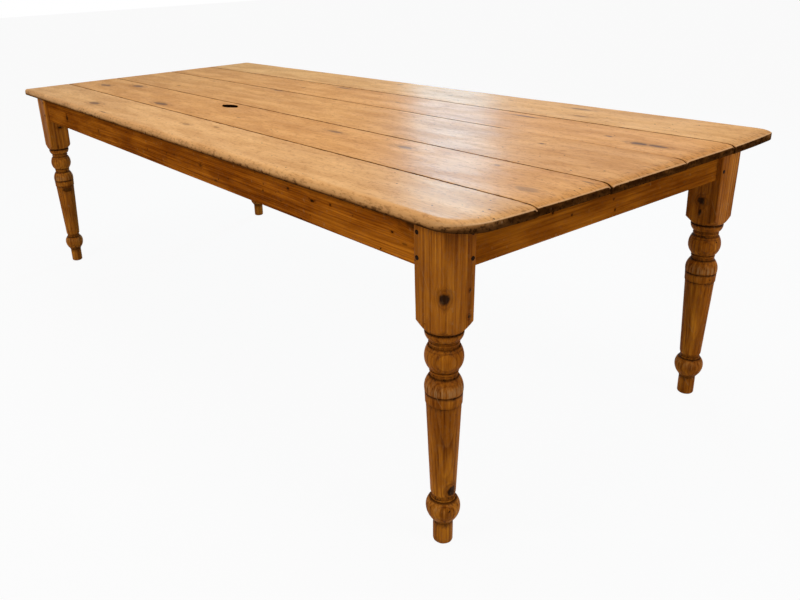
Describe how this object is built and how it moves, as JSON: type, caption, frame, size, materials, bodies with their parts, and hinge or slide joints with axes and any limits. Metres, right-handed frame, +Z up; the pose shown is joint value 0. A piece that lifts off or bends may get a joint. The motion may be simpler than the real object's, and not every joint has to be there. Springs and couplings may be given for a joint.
{
  "type": "refectory table",
  "caption": "Long pine refectory table with a boarded top, pegged apron frame and turned legs with square heads.",
  "frame": {"origin": "on the floor under the middle of the top", "axes": "+X along the top towards the right end, +Y across it towards the back long side, +Z up"},
  "size_m": [2.595, 1.113, 0.77],
  "materials": {
    "waxed_pine_top": "waxed, worn sheen",
    "waxed_pine_frame": "waxed, satin",
    "dark_peg_wood": "dark end grain",
    "raw_pine": "unfinished, dry",
    "screw_iron": "dull, darkened"
  },
  "bodies": {
    "root": {"front_board": "waxed_pine_top", "second_board": "waxed_pine_top", "middle_board": "waxed_pine_top", "fourth_board": "waxed_pine_top", "back_board": "waxed_pine_top", "front_right_leg": "waxed_pine_frame", "back_right_leg": "waxed_pine_frame", "back_left_leg": "waxed_pine_frame", "front_left_leg": "waxed_pine_frame", "front_apron": "waxed_pine_frame", "back_apron": "waxed_pine_frame", "left_apron": "waxed_pine_frame", "right_apron": "waxed_pine_frame", "front_right_leg_pegs": "dark_peg_wood", "back_right_leg_pegs": "dark_peg_wood", "back_left_leg_pegs": "dark_peg_wood", "front_left_leg_pegs": "dark_peg_wood", "left_bearer": "raw_pine", "middle_bearer": "raw_pine", "right_bearer": "raw_pine", "front_glue_blocks": "raw_pine", "back_glue_blocks": "raw_pine", "left_glue_blocks": "raw_pine", "right_glue_blocks": "raw_pine", "left_bearer_screws": "screw_iron", "middle_bearer_screws": "screw_iron", "right_bearer_screws": "screw_iron"}
  },
  "joints": []
}
